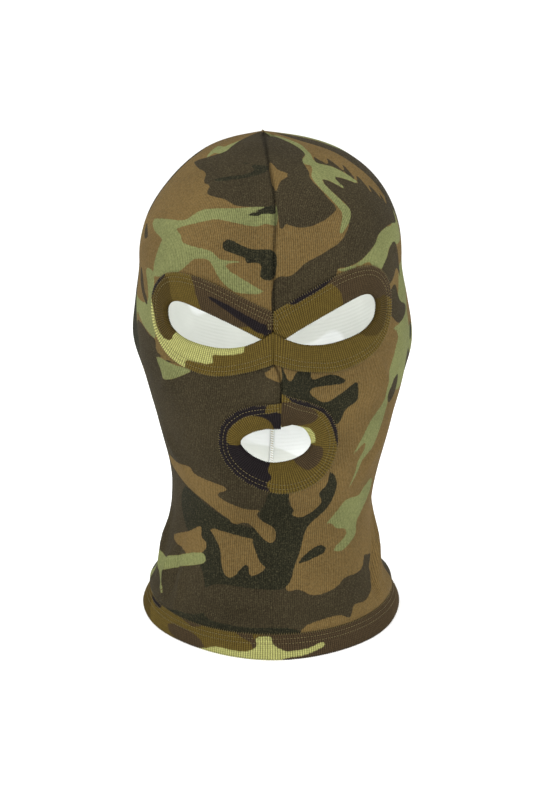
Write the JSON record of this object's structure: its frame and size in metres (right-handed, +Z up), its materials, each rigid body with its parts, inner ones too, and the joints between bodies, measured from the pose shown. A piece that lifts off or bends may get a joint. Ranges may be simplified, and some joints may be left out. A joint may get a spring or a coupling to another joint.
{
  "type": "balaclava",
  "caption": "Close-fitting knitted face mask hood with bound openings for the eyes and the mouth, a centre seam and a flared rib hem, in a camouflage print.",
  "frame": {"origin": "on the floor plane under the middle of the hood, at the level of the hem's folded edge", "axes": "+Z up to the crown, -Y out of the face, +X towards the wearer's left"},
  "size_m": [0.175, 0.2118, 0.3],
  "materials": {
    "jersey_print": "matt cotton jersey with a four-colour woodland print in brown, dark brown, near-black green and light green; the inside is the pale back of the print",
    "rib_print": "matt cotton rib knit with the same print in olive mustard, purple brown, near-black and yellow green",
    "needle_thread": "fine polyester sewing thread, khaki",
    "edge_thread": "fine polyester overlock thread, olive",
    "seam_thread": "textured overlock thread, khaki"
  },
  "bodies": {
    "root": {"hood_shell": "jersey_print", "right_eye_binding": "rib_print", "right_eye_outer_needle_thread": "needle_thread", "right_eye_inner_needle_thread": "needle_thread", "right_eye_edge_thread": "edge_thread", "left_eye_binding": "rib_print", "left_eye_outer_needle_thread": "needle_thread", "left_eye_inner_needle_thread": "needle_thread", "left_eye_edge_thread": "edge_thread", "mouth_binding": "rib_print", "mouth_outer_needle_thread": "needle_thread", "mouth_inner_needle_thread": "needle_thread", "mouth_edge_thread": "edge_thread", "hem_band": "rib_print", "hem_upper_needle_thread": "needle_thread", "hem_lower_needle_thread": "needle_thread", "hem_edge_thread": "edge_thread", "centre_seam_overlock": "seam_thread"}
  },
  "joints": []
}
